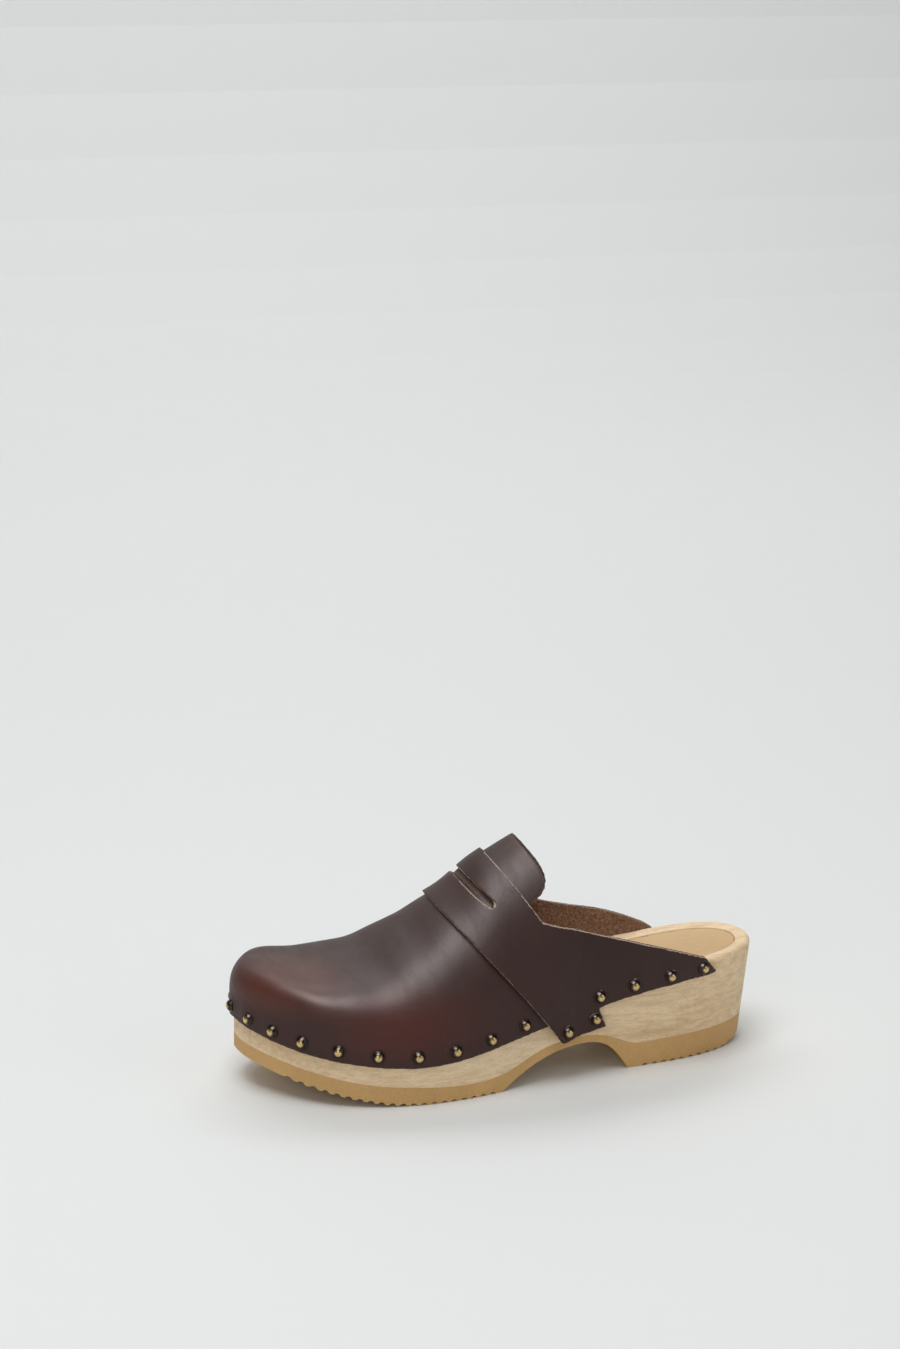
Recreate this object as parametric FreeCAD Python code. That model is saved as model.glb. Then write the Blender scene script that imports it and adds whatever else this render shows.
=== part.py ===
"""A slip-on wooden clog for the left foot: a carved wooden sole on a rubber outsole, a leather sock
let into the footbed, a leather vamp with its tongue, and a saddle strap that runs into two quarters,
all held by domed nails. Millimetres. X points to the toe, Y to the outer side of the foot, Z up, with
the origin on the floor below the middle of the clog."""
import FreeCAD, Part
import math
import os
from FreeCAD import Vector

# ---- driving dimensions -------------------------------------------------------------------------

# Plan of the wood at its rim, from the toe tip along the outer side to the heel and back.
OUTLINE = [(121.4, -10), (118.6, 2.3), (112.3, 13.5), (94, 33), (65, 44.5), (32, 45.5), (-3, 39),
           (-33, 35), (-63, 33), (-91, 29), (-112, 20), (-122.5, 10), (-127, -4), (-123, -17),
           (-112, -24), (-91, -26), (-63, -25.5), (-33, -28), (-3, -32), (32, -41), (65, -46),
           (93, -42.5), (111, -33), (118.6, -21.7)]
WALL_TOP = 50            # height at which the wood has exactly that plan

# How far in the wall comes at the floor, along the length.
LEAN = [(-130, 5.4), (-60, 5.4), (-25, 3.2), (10, 1), (60, 1), (95, 1), (122, -1)]

# Heights along the length, as (x, z) stations.
RIM = [(-130, 51.6), (-83, 50.2), (-53, 46.8), (-23, 41.6), (7, 34.8), (32, 30.4), (52, 29.8), (75, 31.3),
       (100, 35.2), (126, 42)]
JOINT = [(-135, 14), (-93, 13), (-67, 12.3), (-57, 13), (-48, 17), (-37, 19.8), (-23, 19.4), (-9, 16),
         (4, 10.2), (17, 7.4), (42, 8), (72, 11), (100, 16.7), (126, 23)]
VAMP_EDGE = [(-40, 33), (-23, 30), (-3, 26), (27, 20.1), (45, 18.6), (69, 19.9), (93, 23.6), (112, 27.8),
             (126, 32.4)]
CROWN = [(-120, 150), (-60, 128), (-23, 113.5), (-12, 108.4), (2, 100.4), (12, 93.8), (22, 84.3),
         (32, 77.1), (42, 69.8), (52, 64.3), (62, 58.2), (75, 54.6), (90, 52.5), (108, 55.6), (126, 55.3)]

# Where the crown line runs across the clog, as (x, y) stations.
RIDGE = [(-120, 3.5), (-13, -1), (27, -3), (67, -6), (93, -9)]

# How boxy the leather's cross-section is, along the length: 2 is an ellipse.
SQUARENESS = [(-120, 2.4), (-23, 2), (-3, 2), (22, 2.1), (42, 2.4), (62, 2.9), (82, 4.1), (107, 5.3),
              (126, 3.5)]

CROWN_FRONT = 93         # the crown line ends here, above the toes
FAN = 100                # along this much of the edge the sections fan round the toe
FAN_PACE = 0.45          # and move this fast along the crown line, against the edge, at its tip
BLANK_BASE = 12          # height at which the uncut leather starts

# The underside of the rubber, as (x, z) stations, and its tread.
RUBBER_TOE_SPRING = [(45, 0), (60, 0.8), (80, 4.2), (100, 9.3), (122, 15.6), (135, 19.5)]
ARCH = [(9, 0), (-5, 9), (-20, 14.8), (-35, 16.4), (-46, 12.6), (-56, 0)]
HEEL_BEVEL = [(-108, 0), (-118, 3), (-130, 9)]
TREAD_SPANS = [(-120, -58), (11.5, 108)]
TREAD_PITCH = 4.8
TREAD_RADIUS = 1.7
TREAD_DEPTH = 1.0

LEATHER = 2.2
FIT = 0.05               # hairline between one piece and the next
SPRING_DROP = 4          # leather leaves the wood this far below the rim
DISH = 4                 # depth of the hollow of the footbed
DISH_WIDTH = 16          # the hollow reaches its depth this far in from the edge
SOCK_INSET = 7
SOCK_THICK = 1.8
RIM_ROUND = 2.5

# The top edge and the lower rear edge of each quarter, seen from the side.
OUTER_TOPLINE = [(-12.1, 77.4), (-24, 73.6), (-47, 66.6), (-70, 59.4), (-93, 51.2)]
INNER_TOPLINE = [(-12.1, 75), (-30, 67.5), (-45, 63.7), (-59, 60.7), (-69, 57.3), (-79, 53), (-86, 48.8)]
OUTER_HEEL_EDGE = [(-98.3, 42.3), (-79, 40.8), (-58, 37.8), (-39.3, 33.7)]
INNER_HEEL_EDGE = [(-91.4, 42.1), (-75, 40.4), (-58, 37.8), (-39.3, 33.7)]
TIP_REACH = 1.2          # the corner of the tip stands this far behind the lower edge, and above it

SLOT_FOOT = (10.4, 86)   # the slot in the strap, seen from the side, runs up from here
SLOT_WIDTH = 3.2
SLOT_SLOPE = 43          # degrees

NAIL_ARCS = {"outer": [0.5, 16, 30.5, 46, 63, 80.5, 98.5, 116, 133.5, 151],
             "inner": [15.5, 31, 46.5, 62.5, 79, 96, 113, 130, 146.5]}
NAIL_ABOVE_EDGE = 5.6
FOOT_NAILS = [(-23, 24.6), (-37.7, 28.4)]
QUARTER_NAILS = {"outer": [(-39.3, 39.4), (-56.3, 42.8), (-74.5, 44.9), (-91.5, 46.2)],
                 "inner": [(-39.3, 39.4), (-54, 42.6), (-68.5, 44.6), (-82.5, 45.4)]}
NAIL_BRIM = 3.1
NAIL_DOME = 2.75
NAIL_RISE = 2.0
BRIM_THICK = 0.4
SHANK = 1.5
SHANK_TIP = 0.4
SHANK_LENGTH = 7.5

FAR = 90                 # beyond the object on any side
EDGE_STEPS = 60
WALL_SEAMS = (0.26, 0.74)    # the wall's two faces meet this far round the edge, where it is nearly straight
SOLE_ENDS = (-130.0, 127.0)


# ---- curves and surfaces ------------------------------------------------------------------------

def along(stations):
    """A height that runs smoothly through its (x, z) stations, straight on beyond them."""
    xs, zs = zip(*sorted(stations))
    last = len(xs) - 1
    gap = [xs[i + 1] - xs[i] for i in range(last)]
    rise = [(zs[i + 1] - zs[i]) / gap[i] for i in range(last)]
    diagonal = [1.0] * (last + 1)
    bend = [0.0] * (last + 1)
    for i in range(1, last):
        ratio = gap[i - 1] / diagonal[i - 1] if i > 1 else 0.0
        diagonal[i] = 2 * (gap[i - 1] + gap[i]) - ratio * gap[i - 1]
        bend[i] = 6 * (rise[i] - rise[i - 1]) - ratio * bend[i - 1]
    for i in range(last - 1, 0, -1):
        bend[i] = (bend[i] - (gap[i] * bend[i + 1] if i < last - 1 else 0.0)) / diagonal[i]

    def height(x):
        if x <= xs[0]:
            return zs[0] + (x - xs[0]) * (rise[0] - gap[0] * bend[1] / 6)
        if x >= xs[last]:
            return zs[last] + (x - xs[last]) * (rise[-1] + gap[-1] * bend[last - 1] / 6)
        i = next(k for k in range(last) if x <= xs[k + 1])
        a = (xs[i + 1] - x) / gap[i]
        b = 1 - a
        curve = (a ** 3 - a) * bend[i] + (b ** 3 - b) * bend[i + 1]
        return a * zs[i] + b * zs[i + 1] + curve * gap[i] ** 2 / 6
    return height


rim_height = along(RIM)
joint_height = along(JOINT)
wall_lean = along(LEAN)
vamp_edge = along(VAMP_EDGE)
crown_height = along(CROWN)
ridge_place = along(RIDGE)
squareness = along(SQUARENESS)
toe_spring = along(RUBBER_TOE_SPRING)
heel_bevel = along(HEEL_BEVEL)


def closed_curve(points):
    curve = Part.BSplineCurve()
    curve.interpolate(Points=points, PeriodicFlag=True)
    return curve


def through(points):
    """A curve through the points, with even parameters."""
    curve = Part.BSplineCurve()
    last = len(points) - 1
    curve.interpolate(Points=points, Parameters=[i / last for i in range(last + 1)])
    return curve


def skin(rows):
    """A surface through a grid of points, whose borders are the curves through its border points."""
    first = [through(row) for row in rows]
    second = [through(list(column)) for column in zip(*[curve.getPoles() for curve in first])]
    poles = [list(row) for row in zip(*[curve.getPoles() for curve in second])]
    surface = Part.BSplineSurface()
    surface.buildFromPolesMultsKnots(poles, second[0].getMultiplicities(), first[0].getMultiplicities(),
                                     second[0].getKnots(), first[0].getKnots(), False, False, 3, 3)
    return surface.toShape()


def ribbon(one, other):
    return Part.makeRuledSurface(through(one).toShape(), through(other).toShape())


def solid_from(faces):
    shape = Part.Compound(faces)
    shape.sewShape()
    solid = Part.Solid(shape.Shells[0])
    if solid.Volume < 0:
        solid.reverse()
    return solid


def side_prism(edges, low=-FAR, high=FAR):
    """The solid whose side view is the closed loop of edges, from one Y to another."""
    face = Part.Face(Part.Wire(Part.__sortEdges__(edges)))
    face.translate(Vector(0, low, 0))
    return face.extrude(Vector(0, high - low, 0))


def side(x, z):
    return Vector(x, 0, z)


def line(*points):
    return [Part.LineSegment(side(*a), side(*b)).toShape() for a, b in zip(points, points[1:])]


def arc(a, b, c):
    return Part.Arc(side(*a), side(*b), side(*c)).toShape()


def sweep_of(height, first, last, count=40):
    """The side view of a height over a span, as one curve."""
    return through([side(x, height(x)) for x in spaced(first, last, count)]).toShape()


def spaced(first, last, count):
    return [first + (last - first) * i / (count - 1) for i in range(count)]


# ---- the last: where wood and leather stand -----------------------------------------------------

PLAN = closed_curve([Vector(x, y, 0) for x, y in OUTLINE])
PLAN_LENGTH = PLAN.length()


def fade(value, low, high):
    """0 below low, 1 above high, smooth between."""
    t = min(max((value - low) / (high - low), 0), 1)
    return t * t * (3 - 2 * t)


def plan_point(distance, out=0.0):
    """A place on the plan, this far along the edge from the toe tip, moved outwards."""
    at = PLAN.parameterAtDistance(distance % PLAN_LENGTH, PLAN.FirstParameter)
    tangent = PLAN.tangent(at)[0]
    return PLAN.value(at) + Vector(tangent.y, -tangent.x, 0) * out


def wall_point(distance, z, out):
    """A place on the wooden wall at a height, moved outwards."""
    lean = wall_lean(plan_point(distance).x)
    point = plan_point(distance, out - lean * (1 - z / WALL_TOP))
    return Vector(point.x, point.y, z)


def spine_place(distance):
    """Where on the crown line the section that starts at this place on the wall ends."""
    fanned = fade(abs(distance), 0, FAN)
    straight = CROWN_FRONT - FAN_PACE * abs(distance)
    return straight * (1 - fanned) + plan_point(distance).x * fanned


def distance_at(x, side_sign, place=lambda distance: plan_point(distance).x):
    """How far from the toe tip, on the outer (1) or inner (-1) side, a place along x is passed."""
    near, far = 0.0, PLAN_LENGTH / 2
    for _ in range(30):
        middle = (near + far) / 2
        if place(side_sign * middle) > x:
            near = middle
        else:
            far = middle
    return side_sign * near


def upper_point(distance, angle, out):
    """A place on the leather, from the rim (angle 0) over to the crown (angle 90 degrees)."""
    x = plan_point(distance).x
    spring = rim_height(x) - SPRING_DROP
    base = wall_point(distance, spring, out)
    top = spine_place(distance)
    power = squareness(x)
    across, up = math.cos(angle), math.sin(angle)
    size = (abs(across) ** power + up ** power) ** (-1 / power)
    inward, upward = across * size, up * size
    x = top + (base.x - top) * inward
    y = ridge_place(top) * (1 - inward) + base.y * inward
    return Vector(x, y, spring + (crown_height(x) + out - spring) * upward)


def upper_half(side_sign, inner_out, outer_out, rear):
    """The skins and borders of one half of a leather blank, from the rear round to the toe tip."""
    stations = [CROWN_FRONT - (CROWN_FRONT - rear) * (1 - t) ** 1.3 for t in spaced(0, 1, 40)]
    places = [distance_at(x, side_sign, spine_place) for x in stations[:-1]] + [0.0]
    angles = [math.pi / 2 * t for t in spaced(0, 1, 17)]

    def row(distance, out):
        x = plan_point(distance).x
        spring = rim_height(x) - SPRING_DROP
        lower = [wall_point(distance, BLANK_BASE + (spring - BLANK_BASE) * t, out(x)) for t in (0, 0.35, 0.7)]
        return lower + [upper_point(distance, angle, out(x)) for angle in angles]

    inside = [row(distance, inner_out) for distance in places]
    outside = [row(distance, outer_out) for distance in places]
    bottom = ribbon([row[0] for row in inside], [row[0] for row in outside])
    back = ribbon(inside[0], outside[0])
    return [skin(inside), skin(outside), bottom, back]


def upper_blank(inner_out, outer_out, rear):
    """A leather shell over the whole last, to be cut to its pattern."""
    return solid_from(upper_half(1, inner_out, outer_out, rear) + upper_half(-1, inner_out, outer_out, rear))


# ---- wood, sock and rubber ----------------------------------------------------------------------

def sole_block(inset):
    """The body inside the wall, moved in by an inset, from below the floor to above the rim. Its
    wall is two faces, one round the heel and one round the toe."""
    faces = []
    floor, top = [], []
    for start, end in (WALL_SEAMS, (WALL_SEAMS[1], WALL_SEAMS[0] + 1)):
        places = [PLAN_LENGTH * share for share in spaced(start, end, EDGE_STEPS)]
        rows = [[wall_point(place, z, -inset) for place in places] for z in (-5, 20, 45, 70)]
        faces.append(skin(rows))
        floor.append(through(rows[0]).toShape())
        top.append(through(rows[-1]).toShape())
    return solid_from(faces + [Part.Face(Part.Wire(loop)) for loop in (floor, top)])


def footbed_height(x, y, edge):
    """The top of the wood: the rim, less a hollow that deepens inwards from the edge."""
    nearest = min(math.hypot(x - p.x, y - p.y) for p in edge)
    crossings = sum((a.y > y) != (b.y > y) and x < (b.x - a.x) * (y - a.y) / (b.y - a.y) + a.x
                    for a, b in zip(edge, edge[1:] + edge[:1]))
    inside = nearest if crossings % 2 else -nearest
    left = max(1 - inside / DISH_WIDTH, 0)
    hollow = 1 - left ** 2 if inside > 0 else 2 * inside / DISH_WIDTH
    return rim_height(x) - DISH * hollow


def footbed_face():
    edge = [plan_point(PLAN_LENGTH * i / 240) for i in range(240)]
    rows = [[Vector(x, y, footbed_height(x, y, edge)) for y in spaced(-56, 56, 23)]
            for x in spaced(-136, 134, 52)]
    return skin(rows)


def make_sock(footbed):
    slab = footbed.extrude(Vector(0, 0, -SOCK_THICK))
    return slab.common(sole_block(SOCK_INSET))


def make_wood(footbed, sock_seat):
    heel, toe = SOLE_ENDS
    under = side_prism([sweep_of(joint_height, heel, toe)]
                       + line((toe, joint_height(toe)), (toe, -FAR), (heel, -FAR),
                              (heel, joint_height(heel))))
    body = sole_block(0).cut(under).cut(footbed.extrude(Vector(0, 0, FAR)))
    rim = [edge for edge in body.Edges if edge.BoundBox.ZMin > 25 and edge.Length > 100]
    return body.makeFillet(RIM_ROUND, rim).cut(sock_seat)


def ground_height(x):
    """The underside of the rubber: flat but for the toe spring and the bevel of the heel."""
    if x > RUBBER_TOE_SPRING[0][0]:
        return toe_spring(x)
    if x < HEEL_BEVEL[0][0]:
        return heel_bevel(x)
    return 0


def tread_grooves():
    """Scallops across the tread, evenly pitched, under the forefoot and under the heel."""
    grooves = []
    for first, last in TREAD_SPANS:
        for i in range(int((last - first) / TREAD_PITCH)):
            x = first + TREAD_PITCH * (i + 0.5)
            axis = Vector(x, -FAR, ground_height(x) + TREAD_DEPTH - TREAD_RADIUS)
            grooves.append(Part.makeCylinder(TREAD_RADIUS, 2 * FAR, axis, Vector(0, 1, 0)))
    return grooves


def make_rubber():
    heel, toe = SOLE_ENDS
    ball, breast, back = RUBBER_TOE_SPRING[0][0], ARCH[-1][0], HEEL_BEVEL[0][0]
    arch = through([side(x, z) for x, z in ARCH]).toShape()
    curves = [sweep_of(joint_height, heel, toe), sweep_of(toe_spring, ball, toe), arch,
              sweep_of(heel_bevel, back, heel)]
    flats = line((ball, 0), ARCH[0]) + line((breast, 0), (back, 0))
    ends = (line((toe, joint_height(toe)), (toe, toe_spring(toe)))
            + line((heel, heel_bevel(heel)), (heel, joint_height(heel))))
    return side_prism(curves + flats + ends).common(sole_block(0)).cut(tread_grooves())


# ---- leather ------------------------------------------------------------------------------------

def vamp_pattern():
    """Side view of the vamp and its tongue: cut along the edge nailed to the wood, and up the back."""
    edge = sweep_of(vamp_edge, -19, 130)
    back = line((-19, vamp_edge(-19)), (-19, 36), (-12, 60), (-6, 79))
    tongue = through([side(-6, 79), side(-9, 84.6), side(-13.1, 87.6), side(-15.9, 91.5), side(-16.6, 96),
                      side(-14.4, 102), side(-10.3, 108), side(-5, 118)]).toShape()
    front = line((-5, 118), (130, 118), (130, vamp_edge(130)))
    return [edge, tongue] + back + front


def make_vamp():
    blank = upper_blank(lambda x: FIT, lambda x: FIT + LEATHER, -40)
    return blank.common(side_prism(vamp_pattern()))


def saddle_lift(x):
    """How far the saddle stands off the wood: over the vamp in front, against the wood behind."""
    return FIT + (LEATHER + FIT) * fade(x, -30, -19)


def saddle_pattern(topline, heel_edge):
    """Side view of one side of the saddle: strap, foot and quarter."""
    shoulder, tip, heel_end = topline[0], topline[-1], heel_edge[0]
    corner = (heel_end[0] - TIP_REACH, heel_end[1] + TIP_REACH)
    front = arc((-21, 19), (3.5, 50), (31, 80.8))
    top = line((31, 80.8), (48, 98), (17, 117))
    strap_back = arc((17, 117), (-1.2, 93.3), shoulder)
    edges = [through([side(x, z) for x, z in stations]).toShape() for stations in (topline, heel_edge)]
    foot = line(heel_edge[-1], (-43.3, 23.9), (-21, 19))
    return [front, strap_back] + edges + top + line(tip, corner, heel_end) + foot


def slot_cutter():
    """A slot with a round end, widest half way up its front lip, open over the crown."""
    slope = math.radians(SLOT_SLOPE)
    half = SLOT_WIDTH / 2

    def at(along, across):
        return (SLOT_FOOT[0] + along * math.cos(slope) - across * math.sin(slope),
                SLOT_FOOT[1] + along * math.sin(slope) + across * math.cos(slope))

    foot = arc(at(0, half), at(-half, 0), at(0, -half))
    front_lip = arc(at(0, -half), at(6, -half - 0.6), at(16, 0))
    return side_prism([foot, front_lip] + line(at(16, 0), at(16, half), at(0, half)))


def make_saddle():
    blank = upper_blank(saddle_lift, lambda x: saddle_lift(x) + LEATHER, -104)
    outer = blank.common(side_prism(saddle_pattern(OUTER_TOPLINE, OUTER_HEEL_EDGE), 0, FAR))
    inner = blank.common(side_prism(saddle_pattern(INNER_TOPLINE, INNER_HEEL_EDGE), -FAR, 0))
    return outer.fuse(inner).cut(slot_cutter())


# ---- nails --------------------------------------------------------------------------------------

def make_nail(point, outward):
    """A domed head with a thin brim on a square tapering shank, driven inwards at a point."""
    sphere = (NAIL_DOME ** 2 + NAIL_RISE ** 2) / (2 * NAIL_RISE)
    cap = Part.makeSphere(sphere, Vector(0, 0, BRIM_THICK + NAIL_RISE - sphere))
    head = cap.common(Part.makeCylinder(NAIL_BRIM, NAIL_RISE, Vector(0, 0, BRIM_THICK)))
    brim = Part.makeCylinder(NAIL_BRIM, BRIM_THICK)
    squares = []
    for half, z in ((SHANK / 2, 0), (SHANK_TIP / 2, -SHANK_LENGTH)):
        corners = [Vector(x * half, y * half, z) for x, y in ((1, 1), (-1, 1), (-1, -1), (1, -1))]
        squares.append(Part.makePolygon(corners + corners[:1]))
    shank = Part.makeLoft(squares, True, True)
    nail = head.fuse([brim, shank]).removeSplitter()
    nail.Placement = FreeCAD.Placement(point, FreeCAD.Rotation(Vector(0, 0, 1), outward))
    return nail


def nail_on(distance, z, out):
    here = wall_point(distance, z, out)
    outward = here - wall_point(distance, z, out - 1)
    return make_nail(here, outward)


def make_nails():
    nails = {}
    for name, side_sign in (("outer", 1), ("inner", -1)):
        for i, reach in enumerate(NAIL_ARCS[name]):
            distance = side_sign * reach
            z = vamp_edge(plan_point(distance).x) + NAIL_ABOVE_EDGE
            nails["nail_vamp_%s_%02d" % (name, i + 1)] = nail_on(distance, z, FIT + LEATHER)
        for group, places in (("foot", FOOT_NAILS), ("quarter", QUARTER_NAILS[name])):
            for i, (x, z) in enumerate(places):
                distance = distance_at(x, side_sign)
                nails["nail_%s_%s_%d" % (group, name, i + 1)] = nail_on(distance, z, saddle_lift(x) + LEATHER)
    return nails


# ---- build --------------------------------------------------------------------------------------

def single(shape):
    """The one solid of a result, cleaned of leftover seams."""
    clean = shape.removeSplitter()
    return max(clean.Solids, key=lambda solid: solid.Volume)


def build():
    footbed = footbed_face()
    sock = make_sock(footbed)
    nails = make_nails()
    holes = list(nails.values())
    parts = {"insole_sock": sock,
             "wood_sole": make_wood(footbed, sock).cut(holes),
             "rubber_outsole": make_rubber(),
             "vamp": make_vamp().cut(holes),
             "saddle_quarter": make_saddle().cut(holes)}
    parts = {name: single(shape) for name, shape in parts.items()}
    parts.update(nails)
    return parts


os.makedirs("parts", exist_ok=True)
for node, shape in build().items():
    shape.exportStep("parts/%s.step" % node)
    box = shape.BoundBox
    print("%-24s %s volume %.0f box %.1f..%.1f %.1f..%.1f %.1f..%.1f" % (
        node, shape.isValid(), shape.Volume, box.XMin, box.XMax, box.YMin, box.YMax, box.ZMin, box.ZMax))
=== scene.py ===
"""The wooden clog: leather, sock and nails worked as meshes, wood and rubber dressed as they come
from model.glb.
"""
import math
import bmesh
import bpy
import numpy as np
from mathutils import Matrix, Vector, noise
from mathutils.bvhtree import BVHTree
from mathutils.kdtree import KDTree


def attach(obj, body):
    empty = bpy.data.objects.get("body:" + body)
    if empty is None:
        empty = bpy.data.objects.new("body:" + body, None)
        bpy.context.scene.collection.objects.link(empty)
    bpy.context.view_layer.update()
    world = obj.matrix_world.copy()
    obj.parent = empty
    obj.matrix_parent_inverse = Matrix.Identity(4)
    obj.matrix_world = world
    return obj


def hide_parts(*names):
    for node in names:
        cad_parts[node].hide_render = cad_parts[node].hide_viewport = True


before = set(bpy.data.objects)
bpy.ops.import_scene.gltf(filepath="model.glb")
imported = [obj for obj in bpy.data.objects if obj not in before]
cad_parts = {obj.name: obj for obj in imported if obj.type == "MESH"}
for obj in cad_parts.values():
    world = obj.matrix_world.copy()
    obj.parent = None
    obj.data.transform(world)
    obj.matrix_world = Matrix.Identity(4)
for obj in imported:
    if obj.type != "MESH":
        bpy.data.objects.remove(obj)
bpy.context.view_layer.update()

MM = 0.001

# ---- camera, floor and light --------------------------------------------------------------------

CAMERA_PLACE = Vector((411.9, 1323.9, 543.6)) * MM
CAMERA_AIM = Vector((-0.2736, -0.9289, -0.2496))
LENS = 84.06              # millimetres, as the sensor
SENSOR = 36
FLOOR_REACH = 4.0         # metres to each side and to the front
FLOOR_BACK = 1.6          # metres behind the clog, where the floor starts to curve up
FLOOR_BEND = 0.6          # the curve's radius
FLOOR_RISE = 2.5          # the backdrop's top
BEND_STEPS = 12
FLOOR_COLOUR = (0.775, 0.79, 0.785)
SKY_COLOUR = (1.0, 1.0, 0.99, 1)
SKY_STRENGTH = 0.28
CLOG = (0, 0, 0.05)       # the clog's middle
LIGHTS = {                # place, target, width and length in metres, watts
    "overhead": ((0.35, 0.35, 1.5), CLOG, (0.8, 0.9), 11.3),
    "back_wash": ((-0.3, -1.5, 2.0), (-0.3, -1.2, 0), (2.6, 1.0), 24),
    "front_left": ((1.3, 1.7, 0.9), CLOG, (1.1, 1.2), 5),
    "right": ((-1.3, 1.2, 0.9), CLOG, (0.9, 1.2), 3),
    "sheen": ((0.3, 0.3, 1.5), CLOG, (1.2, 1.5), 31),
}


def in_scene(name, data):
    """A new object in the scene."""
    thing = bpy.data.objects.new(name, data)
    bpy.context.scene.collection.objects.link(thing)
    return thing


def look(thing, place, aim):
    """Puts a camera or a light at a place, facing along aim."""
    thing.location = place
    thing.rotation_euler = aim.to_track_quat("-Z", "Y").to_euler()


def make_camera():
    data = bpy.data.cameras.new("camera")
    data.lens = LENS
    data.sensor_width = SENSOR
    camera = in_scene("camera", data)
    look(camera, CAMERA_PLACE, CAMERA_AIM)
    bpy.context.scene.camera = camera


def area_light(name, place, target, size, power):
    data = bpy.data.lights.new(name, "AREA")
    data.shape = "RECTANGLE"
    data.size, data.size_y = size
    data.energy = power
    light = in_scene(name, data)
    look(light, Vector(place), Vector(target) - Vector(place))
    return light


def make_light():
    """Soft lights and a dim sky. The sheen light only adds highlights."""
    lights = {name: area_light(name, *setting) for name, setting in LIGHTS.items()}
    lights["sheen"].visible_diffuse = False
    world = bpy.data.worlds.new("studio")
    bpy.context.scene.world = world
    world.use_nodes = True
    sky = world.node_tree.nodes["Background"]
    sky.inputs["Color"].default_value = SKY_COLOUR
    sky.inputs["Strength"].default_value = SKY_STRENGTH
    bpy.context.scene.view_settings.view_transform = "Standard"


def make_floor():
    """A pale floor that curves up into a backdrop."""
    profile = [(FLOOR_REACH, 0.0), (-FLOOR_BACK, 0.0)]
    for i in range(1, BEND_STEPS + 1):
        angle = math.pi / 2 * i / BEND_STEPS
        profile.append((-FLOOR_BACK - FLOOR_BEND * math.sin(angle),
                        FLOOR_BEND * (1 - math.cos(angle))))
    profile.append((-FLOOR_BACK - FLOOR_BEND, FLOOR_RISE))
    points = [(x, y, z) for y, z in profile for x in (-FLOOR_REACH, FLOOR_REACH)]
    faces = [(2 * i, 2 * i + 1, 2 * i + 3, 2 * i + 2) for i in range(len(profile) - 1)]
    mesh = bpy.data.meshes.new("floor")
    mesh.from_pydata(points, [], faces)
    mesh.materials.append(floor_material())
    floor = in_scene("floor", mesh)


# ---- materials ----------------------------------------------------------------------------------

WHITE = (1, 1, 1)
RAGGED = 0.15             # how far noise moves the border of a coloured region
REGION_FADE = (1.15, 0.1)     # a region fades in over these shares of its reach

# Where the leather is stretched and shows red: centre and reach, in millimetres.
TOE = ((105, 8, 50), (33, 38, 16))
SIDE = ((56, 50, 38), (52, 26, 22))
BEND = ((-16, 6, 106), (14, 22, 12))


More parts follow.
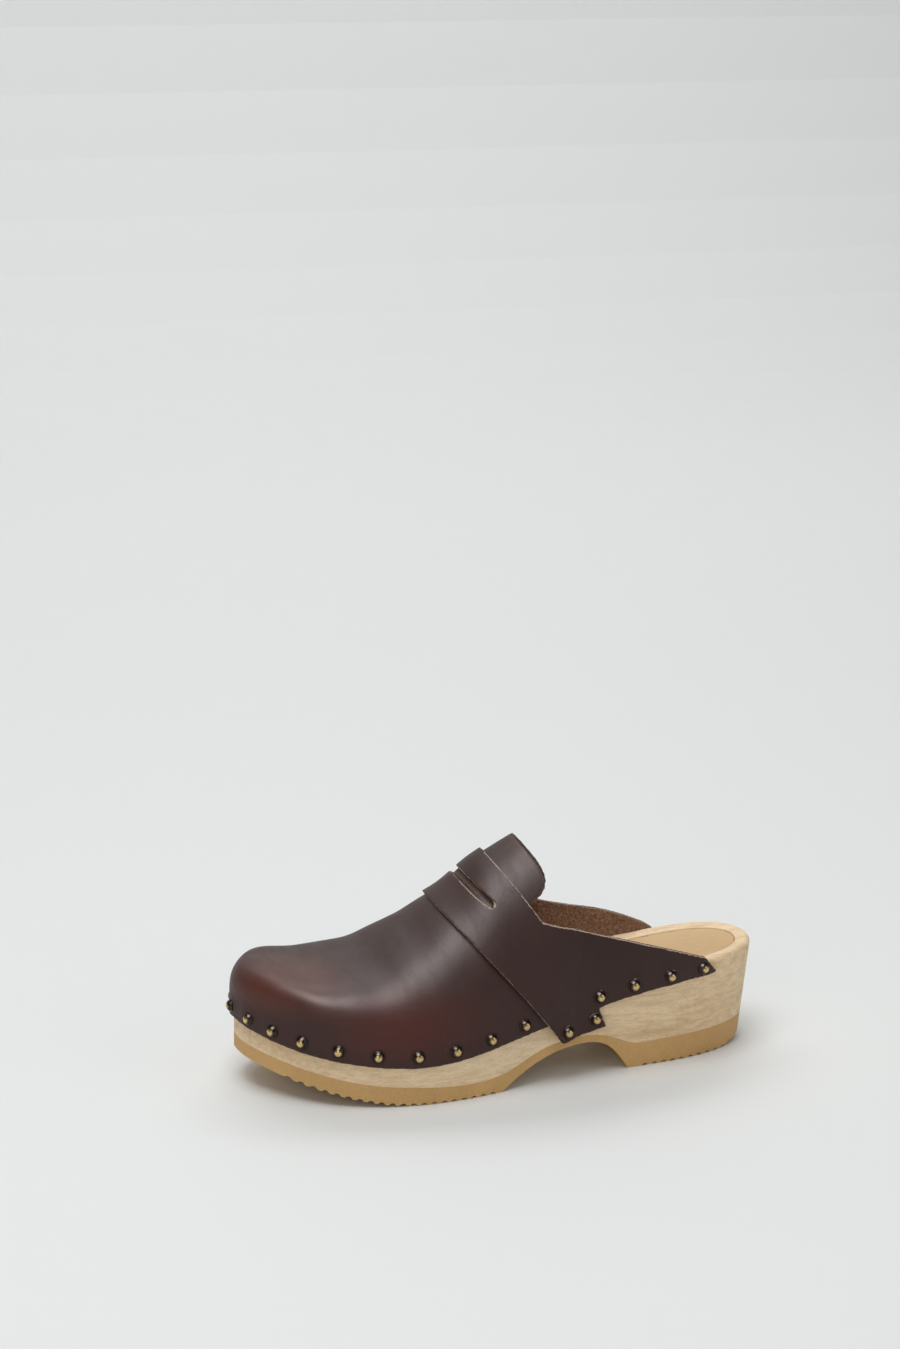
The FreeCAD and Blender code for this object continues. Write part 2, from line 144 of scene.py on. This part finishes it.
class Nodes:
    """A material's node tree, with short ways to add and join nodes."""

    def __init__(self, name):
        self.material = bpy.data.materials.new(name)
        self.material.use_nodes = True
        self.tree = self.material.node_tree
        self.shader = self.tree.nodes["Principled BSDF"]

    def add(self, kind, **values):
        node = self.tree.nodes.new(kind)
        for key, value in values.items():
            setattr(node, key, value)
        return node

    def join(self, source, target):
        self.tree.links.new(source, target)

    def feed(self, socket, value):
        """Joins a socket, or sets a number or a colour."""
        if isinstance(value, bpy.types.NodeSocket):
            self.join(value, socket)
        elif isinstance(value, tuple) and socket.type == "RGBA":
            socket.default_value = (*value, 1)
        else:
            socket.default_value = value

    def place(self, scale=(1, 1, 1)):
        """Object coordinates, scaled."""
        coordinates = self.add("ShaderNodeTexCoord")
        mapping = self.add("ShaderNodeMapping")
        mapping.inputs["Scale"].default_value = scale
        self.join(coordinates.outputs["Object"], mapping.inputs["Vector"])
        return mapping.outputs["Vector"]

    def attribute(self, name):
        """A number stored on the mesh's points."""
        return self.add("ShaderNodeAttribute", attribute_name=name).outputs["Fac"]

    def noise(self, vector, scale, detail, roughness, distortion=0.0):
        node = self.add("ShaderNodeTexNoise")
        for key, value in zip(("Scale", "Detail", "Roughness", "Distortion"),
                              (scale, detail, roughness, distortion)):
            node.inputs[key].default_value = value
        self.join(vector, node.inputs["Vector"])
        return node.outputs["Fac"]

    def cells(self, vector, scale):
        """0 in the middle of each cell, rising to its border."""
        node = self.add("ShaderNodeTexVoronoi")
        node.inputs["Scale"].default_value = scale
        self.join(vector, node.inputs["Vector"])
        return node.outputs["Distance"]

    def ramp(self, value, *stops):
        """Colours at places along 0 to 1."""
        node = self.add("ShaderNodeValToRGB")
        elements = node.color_ramp.elements
        while len(elements) < len(stops):
            elements.new(0.5)
        for element, (place, colour) in zip(elements, stops):
            element.position = place
            element.color = (*colour, 1)
        self.join(value, node.inputs["Fac"])
        return node.outputs["Color"]

    def span(self, value, low, high, to_low=0.0, to_high=1.0):
        """Takes low to high smoothly onto to_low to to_high."""
        node = self.add("ShaderNodeMapRange", interpolation_type="SMOOTHSTEP")
        for key, number in zip(("From Min", "From Max", "To Min", "To Max"),
                               (low, high, to_low, to_high)):
            node.inputs[key].default_value = number
        self.join(value, node.inputs["Value"])
        return node.outputs["Result"]

    def maths(self, kind, first, second):
        node = self.add("ShaderNodeMath", operation=kind)
        self.feed(node.inputs[0], first)
        self.feed(node.inputs[1], second)
        return node.outputs[0]

    def mix(self, share, first, second, blend="MIX"):
        """A colour between two others."""
        node = self.add("ShaderNodeMix", data_type="RGBA", blend_type=blend)
        colours = [socket for socket in node.inputs if socket.type == "RGBA"]
        self.feed(node.inputs["Factor"], share)
        self.feed(colours[0], first)
        self.feed(colours[1], second)
        return next(socket for socket in node.outputs if socket.type == "RGBA")

    def darken(self, colour, share, value, tint, low, high):
        """Multiplies a colour by a tint where a value is low."""
        return self.mix(share, colour, self.ramp(value, (low, tint), (high, WHITE)), "MULTIPLY")

    def blend(self, share, first, second):
        """A number between two others."""
        node = self.add("ShaderNodeMix", data_type="FLOAT")
        self.feed(node.inputs["Factor"], share)
        self.feed(node.inputs["A"], first)
        self.feed(node.inputs["B"], second)
        return node.outputs["Result"]

    def within(self, centre, reach, ragged):
        """1 round a centre, fading to 0 at about a reach from it on each axis, in millimetres."""
        moved = self.add("ShaderNodeVectorMath", operation="SUBTRACT")
        self.join(self.place(), moved.inputs[0])
        moved.inputs[1].default_value = [part * MM for part in centre]
        shared = self.add("ShaderNodeVectorMath", operation="DIVIDE")
        self.join(moved.outputs["Vector"], shared.inputs[0])
        shared.inputs[1].default_value = [part * MM for part in reach]
        length = self.add("ShaderNodeVectorMath", operation="LENGTH")
        self.join(shared.outputs["Vector"], length.inputs[0])
        wavy = self.maths("ADD", length.outputs["Value"],
                          self.span(ragged, 0.3, 0.7, -RAGGED, RAGGED))
        return self.span(wavy, *REGION_FADE)

    def bump(self, height, distance, strength, normal=None):
        node = self.add("ShaderNodeBump")
        node.inputs["Distance"].default_value = distance
        self.feed(node.inputs["Strength"], strength)
        self.join(height, node.inputs["Height"])
        if normal:
            self.join(normal, node.inputs["Normal"])
        return node.outputs["Normal"]

    def finish(self, colour, roughness, normal=None):
        self.feed(self.shader.inputs["Base Color"], colour)
        self.feed(self.shader.inputs["Roughness"], roughness)
        if normal:
            self.join(normal, self.shader.inputs["Normal"])
        return self.material


def floor_material():
    n = Nodes("floor")
    n.shader.inputs["Specular IOR Level"].default_value = 0.2
    return n.finish(FLOOR_COLOUR, 0.6)


def wood_material():
    """Pale sanded poplar: fine dark pores along the length over broad soft figure."""
    n = Nodes("sole_wood")
    grain = n.noise(n.place((1, 6, 9)), 55, 6, 0.62, 0.4)
    pores = n.noise(n.place((1, 9, 12)), 300, 3, 0.6, 0.1)
    figure = n.noise(n.place((1, 2.2, 3.5)), 12, 3, 0.5, 0.8)
    smudge = n.noise(n.place(), 35, 4, 0.6)
    colour = n.ramp(figure, (0.32, (0.78, 0.57, 0.335)), (0.68, (0.93, 0.73, 0.475)))
    colour = n.darken(colour, 0.5, grain, (0.66, 0.58, 0.49), 0.36, 0.6)
    colour = n.darken(colour, 0.55, pores, (0.62, 0.53, 0.44), 0.34, 0.47)
    colour = n.mix(n.span(smudge, 0.5, 0.75, 0, 0.25), colour, (0.80, 0.66, 0.50))
    roughness = n.span(grain, 0.3, 0.7, 0.6, 0.46)
    return n.finish(colour, roughness, n.bump(pores, 0.0002, 0.4, n.bump(grain, 0.0003, 0.25)))


def rubber_material():
    """Tan crepe-like rubber, matt, with fine pits and a faint bloom."""
    n = Nodes("tread_rubber")
    speck = n.noise(n.place(), 1100, 3, 0.65)
    cloud = n.noise(n.place(), 28, 4, 0.6)
    pits = n.cells(n.place(), 900)
    colour = n.ramp(cloud, (0.3, (0.53, 0.312, 0.110)), (0.7, (0.64, 0.395, 0.152)))
    colour = n.darken(colour, 0.35, speck, (0.68, 0.62, 0.54), 0.32, 0.6)
    roughness = n.span(cloud, 0.3, 0.7, 0.55, 0.72)
    return n.finish(colour, roughness, n.bump(pits, 0.00015, 0.3, n.bump(speck, 0.0001, 0.4)))


def sock_material():
    """Smooth natural leather, honey coloured, with fine pores."""
    n = Nodes("sock_leather")
    grain = n.cells(n.place(), 1500)
    cloud = n.noise(n.place(), 22, 4, 0.55, 0.3)
    mottle = n.noise(n.place(), 260, 3, 0.6)
    colour = n.ramp(cloud, (0.3, (0.53, 0.335, 0.145)), (0.7, (0.60, 0.395, 0.185)))
    colour = n.darken(colour, 0.3, mottle, (0.84, 0.79, 0.72), 0.3, 0.62)
    colour = n.mix(n.attribute("cut"), colour, (0.40, 0.26, 0.14))
    roughness = n.span(mottle, 0.3, 0.7, 0.42, 0.56)
    return n.finish(colour, roughness, n.bump(grain, 0.00008, 0.35, n.bump(mottle, 0.0001, 0.2)))


def leather_material(name, raw, core):
    """Oiled pull-up leather: a dark grain side, red where it is stretched, and a brown flesh side.

    Its cut edges have the colour raw at the lip and core in the middle.
    """
    n = Nodes(name)
    cloud = n.noise(n.place(), 16, 4, 0.55, 0.5)
    pores = n.cells(n.place(), 1300)
    crease = n.noise(n.place((2.2, 0.7, 1.4)), 70, 5, 0.6, 1.2)
    scuff = n.noise(n.place((1, 1, 2)), 180, 5, 0.7, 0.6)
    fibre = n.noise(n.place(), 950, 3, 0.75)
    nap = n.noise(n.place(), 420, 4, 0.7)
    dark = n.ramp(cloud, (0.3, (0.029, 0.0102, 0.0078)), (0.7, (0.043, 0.0150, 0.0115)))
    toe = n.within(*TOE, cloud)
    side = n.within(*SIDE, cloud)
    bend = n.within(*BEND, cloud)
    red = n.mix(n.maths("MULTIPLY", side, 0.95), dark, (0.074, 0.0150, 0.0098))
    red = n.mix(n.maths("MULTIPLY", bend, 0.5), red, (0.085, 0.026, 0.017))
    grain_colour = n.mix(n.maths("MULTIPLY", toe, 0.85), red, (0.115, 0.029, 0.0155))
    grain_colour = n.mix(n.span(scuff, 0.66, 0.78, 0, 0.25), grain_colour, (0.12, 0.078, 0.062))
    flesh_colour = n.ramp(fibre, (0.34, (0.13, 0.064, 0.037)), (0.5, (0.235, 0.125, 0.073)),
                          (0.66, (0.36, 0.225, 0.145)))
    flesh, cut = n.attribute("flesh"), n.attribute("cut")
    lip = n.mix(n.span(cut, 0.08, 0.3), grain_colour, raw)
    core_colour = n.mix(n.span(nap, 0.4, 0.62), core, tuple(0.5 * part for part in core))
    edge_colour = n.mix(n.span(cut, 0.7, 0.95), lip, core_colour)
    colour = n.mix(flesh, edge_colour, flesh_colour)
    rough = n.maths("MAXIMUM", flesh, cut)
    grain_roughness = n.maths("ADD", n.span(cloud, 0.3, 0.7, 0.44, 0.52),
                              n.span(crease, 0.45, 0.7, 0, 0.07))
    grain_roughness = n.maths("SUBTRACT", grain_roughness, n.maths("MULTIPLY", toe, 0.13))
    roughness = n.blend(rough, grain_roughness, 0.92)
    n.shader.inputs["Specular IOR Level"].default_value = 0.34
    normal = n.bump(pores, 0.00006, 0.35)
    normal = n.bump(crease, 0.0004, 0.22, normal)
    normal = n.bump(nap, 0.0006, n.maths("MULTIPLY", rough, 0.8), normal)
    return n.finish(colour, roughness, normal)


def brass_material():
    """Antiqued brass: the dome rubbed bright, the rim left dark. The bright centre is also a
    painted reflection of the warm floor and sole.
    """
    n = Nodes("nail_brass")
    patina = n.noise(n.place(), 900, 4, 0.65)
    rubbed_and_reflection = n.maths("MULTIPLY", n.attribute("dome"), n.span(patina, 0.25, 0.5, 0.7, 1))
    n.shader.inputs["Metallic"].default_value = 1.0
    bright = n.ramp(patina, (0.35, (0.50, 0.33, 0.13)), (0.65, (0.80, 0.58, 0.27)))
    colour = n.mix(rubbed_and_reflection, (0.05, 0.039, 0.032), bright)
    roughness = n.blend(rubbed_and_reflection, 0.16, n.span(patina, 0.3, 0.7, 0.20, 0.11))
    return n.finish(colour, roughness, n.bump(patina, 0.00006, 0.5))


# ---- worked sheets ------------------------------------------------------------------------------

GRAIN, FLESH, CUT = range(3)
SHEET = 3.2 * MM          # a surface this close behind another is the sheet's other side
SKIN = 1e-5               # a ray into a sheet starts this far below its surface
WELD = 1e-6               # points this close are one
AXIS_ENDS = (-90 * MM, 78 * MM)     # the grain side faces away from a line along the clog
AXIS_SIDE = -4 * MM
AXIS_HEIGHT = 38 * MM
BORDER_ROUNDS = 5         # how far the border of a cut edge reaches, in rounds of softening
BORDER = 0.02             # less cut than this, after those, is inland
INLAND_ROUNDS = 24        # rounds of smoothing away from the cut edges
EDGE_ROUNDS = 3           # rounds of smoothing all over


def side_of(tree, place, normal, grain_up):
    """Which side of a sheet a place on its surface is."""
    if tree.ray_cast(place - normal * SKIN, -normal, SHEET)[0] is None:
        return CUT
    inner = Vector((min(max(place.x, AXIS_ENDS[0]), AXIS_ENDS[1]), AXIS_SIDE, AXIS_HEIGHT))
    away = Vector((0, 0, 1)) if grain_up else place - inner
    return GRAIN if normal.dot(away) > 0 else FLESH


def remeshed(source, voxel):
    """An even mesh over the source."""
    mesh = bpy.data.meshes.new("source")
    source.to_mesh(mesh)
    thing = in_scene("source", mesh)
    remesh = thing.modifiers.new("even", "REMESH")
    remesh.mode = "VOXEL"
    remesh.voxel_size = voxel
    worked = thing.evaluated_get(bpy.context.evaluated_depsgraph_get())
    even = bpy.data.meshes.new_from_object(worked)
    bpy.data.objects.remove(thing)
    bpy.data.meshes.remove(mesh)
    return even


def array_of(collection, name, width, kind=np.float64):
    """A property of every element, as an array with width columns."""
    values = np.empty(len(collection) * width, kind)
    collection.foreach_get(name, values)
    return values.reshape(-1, width)


class Sheet:
    """A CAD sheet remade as an even mesh that can be worked, with its sides known."""

    def __init__(self, node, name, voxel, grain_up=False):
        source = bmesh.new()
        source.from_mesh(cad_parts[node].data)
        bmesh.ops.remove_doubles(source, verts=source.verts, dist=WELD)
        tree = BVHTree.FromBMesh(source)
        self.node, self.name = node, name
        self.mesh = remeshed(source, voxel)
        self.points = array_of(self.mesh.vertices, "co", 3)
        self.edges = array_of(self.mesh.edges, "vertices", 2, np.int32)
        source.free()
        nearest = [tree.find_nearest(Vector(point))[:2] for point in self.points]
        self.points = np.array([place for place, normal in nearest])
        kind = np.array([side_of(tree, place, normal, grain_up) for place, normal in nearest])
        self.cut = self.soften((kind == CUT).astype(float), 1)
        self.flesh = self.soften((kind == FLESH).astype(float), 1)
        self.grain = self.soften((kind == GRAIN).astype(float), 2)
        inland = (self.soften(self.cut, BORDER_ROUNDS) < BORDER).astype(float)
        self.relax(inland, INLAND_ROUNDS)
        self.relax(np.ones(len(inland)), EDGE_ROUNDS)
        self.mesh.vertices.foreach_set("co", self.points.ravel())
        self.mesh.update()
        self.normals = array_of(self.mesh.vertices, "normal", 3)

    def average(self, values):
        """Each point's mean over its neighbours."""
        first, second = self.edges.T
        count = len(self.points)
        total = np.bincount(first, values[second], count)
        total += np.bincount(second, values[first], count)
        return total / np.maximum(np.bincount(self.edges.ravel(), minlength=count), 1)

    def soften(self, values, rounds):
        for _ in range(rounds):
            values = (values + self.average(values)) / 2
        return values

    def relax(self, weight, rounds):
        """Moves the points halfway to their neighbours' middle, by weight."""
        for _ in range(rounds):
            moved = np.stack([self.average(self.points[:, axis]) for axis in range(3)], axis=1)
            self.points += (moved - self.points) * (0.5 * weight)[:, None]

    def raise_by(self, height):
        """Moves the points out along their normals."""
        self.points += self.normals * height[:, None]

    def finish(self, material, slot):
        """Writes the points and sides to the mesh and puts it in place of its CAD node."""
        self.mesh.vertices.foreach_set("co", self.points.ravel())
        for name in ("cut", "flesh"):
            layer = self.mesh.attributes.new(name, "FLOAT", "POINT")
            layer.data.foreach_set("value", getattr(self, name))
        self.mesh.polygons.foreach_set("use_smooth", np.ones(len(self.mesh.polygons), bool))
        self.mesh.materials.clear()
        self.mesh.materials.append(material)
        self.mesh.update()
        piece = in_scene(self.name, self.mesh)
        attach(piece, "root")
        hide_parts(self.node)


def waves(points, height, scale, seed):
    """Smooth noise from -height to height at points, with features of about 1 / scale metres."""
    shift = Vector((seed, 2 * seed, 3 * seed))
    stretch = Vector(scale)
    return height * np.array([noise.noise(Vector(point) * stretch + shift) for point in points])


def ease(values, low, high):
    """0 below low, 1 above high, smooth between."""
    share = np.clip((values - low) / (high - low), 0, 1)
    return share * share * (3 - 2 * share)


# ---- nails --------------------------------------------------------------------------------------

HEAD_HEIGHT = 2.4 * MM
# Radii and heights of the head's underside, brim and groove, in mm.
BRIM = ((0.3, 0), (2.98, 0), (3.1, 0.12), (3.1, 0.26), (3.0, 0.38), (2.8, 0.4))
DOME_RADIUS = 2.7 * MM
DOME_FOOT = 0.42 * MM
DENT_DEPTH = 0.035 * MM
DENT_SCALE = 900          # dents per metre
# Inside these radii the dome's bright brass is rubbed metal and also a painted reflection of the
# warm floor and sole.
CROWN = (1.1 * MM, 1.9 * MM)     # the dome is rubbed bright inside these radii
SHANK_HALF = 0.75 * MM
SHANK_TIP_HALF = 0.2 * MM
SHANK_ROOT = 0.1 * MM     # how far the shank goes into the head
SHANK_LENGTH = 7.5 * MM
TIP_REACH = 0.3 * MM      # the points this near the farthest one are the shank's tip
TURNS = 48
DOME_RINGS = 12
NAIL_TURN = 2.4           # radians that each nail is turned from the one before


def nail_pose(node):
    """Where the underside of a nail's head is and which way the head faces, from its CAD shape."""
    points = array_of(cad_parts[node].data.vertices, "co", 3)
    centre = points.mean(axis=0)
    reach = np.linalg.norm(points - centre, axis=1)
    tip = points[reach > reach.max() - TIP_REACH].mean(axis=0)
    axis = (centre - tip) / np.linalg.norm(centre - tip)
    length = ((points - tip) @ axis).max()
    return tip + axis * (length - HEAD_HEIGHT), axis


def nail_mesh(material):
    """A struck head, with a thin rolled brim, a groove and a dome, on a square tapering shank."""
    rise = HEAD_HEIGHT - DOME_FOOT
    sphere = (DOME_RADIUS ** 2 + rise ** 2) / (2 * rise)
    steep = math.asin(DOME_RADIUS / sphere)
    profile = [(radius * MM, height * MM) for radius, height in BRIM]
    for i in range(DOME_RINGS):
        angle = steep * (1 - i / DOME_RINGS)
        profile.append((sphere * math.sin(angle),
                        DOME_FOOT + rise - sphere * (1 - math.cos(angle))))
    mesh = bmesh.new()
    dome = mesh.verts.layers.float.new("dome")
    rings = []
    for radius, height in profile:
        ring = []
        for turn in range(TURNS):
            angle = 2 * math.pi * turn / TURNS
            place = Vector((radius * math.cos(angle), radius * math.sin(angle), height))
            if height > DOME_FOOT:
                dent = DENT_DEPTH * noise.noise(place * DENT_SCALE)
                vertex = mesh.verts.new(place * (1 + dent / place.length))
                vertex[dome] = float(1 - ease(radius, *CROWN))
            else:
                vertex = mesh.verts.new(place)
            ring.append(vertex)
        rings.append(ring)
    for low, high in zip(rings, rings[1:]):
        for turn in range(TURNS):
            mesh.faces.new((low[turn], low[turn - 1], high[turn - 1], high[turn])[::-1])
    crown = mesh.verts.new((0, 0, HEAD_HEIGHT))
    crown[dome] = 1
    for turn in range(TURNS):
        mesh.faces.new((rings[-1][turn - 1], rings[-1][turn], crown))
    mesh.faces.new(rings[0][::-1])
    corners = []
    for half, height in ((SHANK_HALF, SHANK_ROOT), (SHANK_TIP_HALF, -SHANK_LENGTH)):
        corners.append([mesh.verts.new((x * half, y * half, height))
                        for x, y in ((1, 1), (-1, 1), (-1, -1), (1, -1))])
    upper, lower = corners
    mesh.faces.new(upper)
    mesh.faces.new(lower[::-1])
    for i in range(4):
        mesh.faces.new((upper[i - 1], upper[i], lower[i], lower[i - 1])[::-1])
    bmesh.ops.recalc_face_normals(mesh, faces=mesh.faces)
    for face in mesh.faces:
        face.smooth = len(face.verts) == 3 or face.calc_center_median().z > 0
    data = bpy.data.meshes.new("nail")
    mesh.to_mesh(data)
    mesh.free()
    data.materials.append(material)
    return data


def make_nails(material):
    """Replaces every nail, each turned differently, and returns where they are."""
    poses = []
    mesh = nail_mesh(material)
    nodes = sorted(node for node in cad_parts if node.startswith("nail"))
    for i, node in enumerate(nodes):
        place, axis = nail_pose(node)
        poses.append((place, axis))
        nail = in_scene("worked_" + node, mesh)
        aim = Vector(axis).to_track_quat("Z", "Y").to_matrix().to_4x4()
        turn = Matrix.Rotation(NAIL_TURN * i, 4, "Z")
        nail.matrix_world = Matrix.Translation(place) @ aim @ turn
        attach(nail, "root")
        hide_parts(node)
    return poses


# ---- leather pieces and sock --------------------------------------------------------------------

VAMP_VOXEL = 0.82 * MM
SADDLE_VOXEL = 0.57 * MM
SOCK_VOXEL = 0.8 * MM

# Unevenness of the surfaces: height, features per metre along X, Y and Z, seed.
VAMP_WAVES = (0.13 * MM, (24, 20, 30), 3)
VAMP_RIPPLES = (0.05 * MM, (80, 60, 90), 5)
VAMP_CREASES = (0.10 * MM, (210, 45, 150), 7)
VAMP_EDGE = (0.05 * MM, (700, 700, 700), 9)
SADDLE_WAVES = (0.10 * MM, (26, 26, 26), 11)
SADDLE_RIPPLES = (0.04 * MM, (110, 80, 110), 13)
SADDLE_EDGE = (0.10 * MM, (900, 900, 900), 15)
SOCK_WAVES = (0.06 * MM, (50, 50, 50), 17)

# Where an effect starts and where it is full, or where it fades and is gone.
SWELL_RISE = (2.9 * MM, 3.9 * MM)        # radii round a nail
SWELL_FALL = (4.1 * MM, 7.5 * MM)
FLEX_BACK = (30 * MM, 45 * MM)           # X, where the toes bend
FLEX_FRONT = (75 * MM, 90 * MM)
FLEX_FOOT = (45 * MM, 58 * MM)           # height
TONGUE_FOOT = (84 * MM, 88 * MM)         # height
TONGUE_BORDER = (1.2 * MM, 1.9 * MM)     # distance from the cut edge
LIP_FRONT = (-0.8 * MM, -0.2 * MM)       # distance behind the slot's middle
LIP_BACK = (3 * MM, 4 * MM)
SOCK_HEEL = (-84 * MM, -72 * MM)         # X

SWELL_HEIGHT = 0.3 * MM
SWELL_REACH = 4 * MM      # along the nail
TONGUE_WORN = 0.2 * MM    # how much thinner the tongue's border is
SLOT_LINE = ((10.4, 86), (24, 98.5))     # the slot's middle, seen from the side, in mm
LIP_PAST = (2 * MM, 4 * MM)      # how far the lip's band runs on below and above the slot
LIP_FLESH = 0.2           # how much the lip's band looks like the flesh side
FLESH_ROUGH = 0.3         # how uneven the flesh side is, as a share of the cut edges
WHOLLY_CUT = 0.6          # a point with more cut than this is on the cut edge
LINE_INSET = 9 * MM       # the line pressed into the sock, from the sock's edge
LINE_WIDTH = 0.7 * MM
LINE_DEPTH = 0.22 * MM


def swell_round(sheet, nails):
    """The leather pressed up into a low ring round each nail's head."""
    swell = np.zeros(len(sheet.points))
    for place, axis in nails:
        rel = sheet.points - place
        along = rel @ axis
        radial = np.linalg.norm(rel - along[:, None] * axis, axis=1)
        ring = ease(radial, *SWELL_RISE) * (1 - ease(radial, *SWELL_FALL))
        swell = np.maximum(swell, ring * (np.abs(along) < SWELL_REACH))
    return swell * sheet.grain * SWELL_HEIGHT


def slot_lip_and_shade(points):
    """1 in a band along the slot's rear lip. It stands in for the strap's own cut edge there, and
    is painted shade in the slot's recess.
    """
    start, end = (np.array(place) * MM for place in SLOT_LINE)
    length = np.linalg.norm(end - start)
    run = (end - start) / length
    rel = points[:, ::2] - start
    ahead = rel @ run
    behind = rel @ np.array((-run[1], run[0]))
    beside = (ahead > -LIP_PAST[0]) * (ahead < length + LIP_PAST[1])
    return ease(behind, *LIP_FRONT) * (1 - ease(behind, *LIP_BACK)) * beside


def inset_from_cut(sheet):
    """How far each point is from the sheet's cut edge."""
    border = sheet.points[sheet.cut > WHOLLY_CUT]
    near = KDTree(len(border))
    for i, point in enumerate(border):
        near.insert(Vector(point), i)
    near.balance()
    return np.array([near.find(Vector(point))[2] for point in sheet.points])


def make_upper(nails):
    """The vamp, creased over the toes and worn round the tongue, and the saddle and quarters."""
    vamp = Sheet("vamp", "worked_vamp", VAMP_VOXEL)
    x, z = vamp.points[:, 0], vamp.points[:, 2]
    flexed = ease(x, *FLEX_BACK) * (1 - ease(x, *FLEX_FRONT)) * ease(z, *FLEX_FOOT)
    tongue = ease(z, *TONGUE_FOOT) * (1 - ease(inset_from_cut(vamp), *TONGUE_BORDER))
    vamp.raise_by(swell_round(vamp, nails)
                  - vamp.grain * TONGUE_WORN * tongue
                  + vamp.grain * (waves(vamp.points, *VAMP_WAVES)
                                  + waves(vamp.points, *VAMP_RIPPLES)
                                  + flexed * waves(vamp.points, *VAMP_CREASES))
                  + vamp.cut * waves(vamp.points, *VAMP_EDGE))
    # The band along the slot's rear lip goes in as cut edge, so it takes the dark core colour: the
    # strap's cut edge and painted shade inside the slot.
    lip = slot_lip_and_shade(vamp.points)
    vamp.flesh = np.maximum(vamp.flesh, LIP_FLESH * lip)
    vamp.cut = np.maximum(vamp.cut, np.maximum(lip, tongue * vamp.grain))
    burnished = leather_material("vamp_leather", (0.070, 0.036, 0.030), (0.020, 0.012, 0.010))
    vamp.finish(burnished, "upper_leather")
    saddle = Sheet("saddle_quarter", "worked_saddle_quarter", SADDLE_VOXEL)
    saddle.raise_by(swell_round(saddle, nails)
                    + saddle.grain * (waves(saddle.points, *SADDLE_WAVES)
                                      + waves(saddle.points, *SADDLE_RIPPLES))
                    + (saddle.cut + FLESH_ROUGH * saddle.flesh)
                    * waves(saddle.points, *SADDLE_EDGE))
    raw_edged = leather_material("saddle_leather", (0.46, 0.33, 0.25), (0.075, 0.040, 0.030))
    saddle.finish(raw_edged, "upper_leather")


def make_sock():
    """The sock leather with a line pressed into it round the heel."""
    sock = Sheet("insole_sock", "worked_insole_sock", SOCK_VOXEL, grain_up=True)
    heel = 1 - ease(sock.points[:, 0], *SOCK_HEEL)
    line = np.exp(-((inset_from_cut(sock) - LINE_INSET) / LINE_WIDTH) ** 2) * heel
    sock.raise_by(sock.grain * (waves(sock.points, *SOCK_WAVES) - LINE_DEPTH * line))
    sock.finish(sock_material(), "sock_leather")


# ---- hard pieces --------------------------------------------------------------------------------

WOOD_EASE = 0.3 * MM
EASE_SEGMENTS = 2
SHARP = math.radians(40)  # an edge that turns more than this is rounded


def dress(node, material):
    """Gives a CAD node its material."""
    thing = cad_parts[node]
    thing.data.materials.clear()
    thing.data.materials.append(material)
    return thing


def ease_edges(thing, width):
    """Rounds a CAD node's sharp edges by a little."""
    weld = thing.modifiers.new("weld", "WELD")
    weld.merge_threshold = WELD
    bevel = thing.modifiers.new("eased", "BEVEL")
    bevel.width = width
    bevel.segments = EASE_SEGMENTS
    bevel.limit_method = "ANGLE"
    bevel.angle_limit = SHARP


def main():
    make_camera()
    make_light()
    make_floor()
    nails = make_nails(brass_material())
    make_upper(nails)
    make_sock()
    ease_edges(dress("wood_sole", wood_material()), WOOD_EASE)
    dress("rubber_outsole", rubber_material())


main()
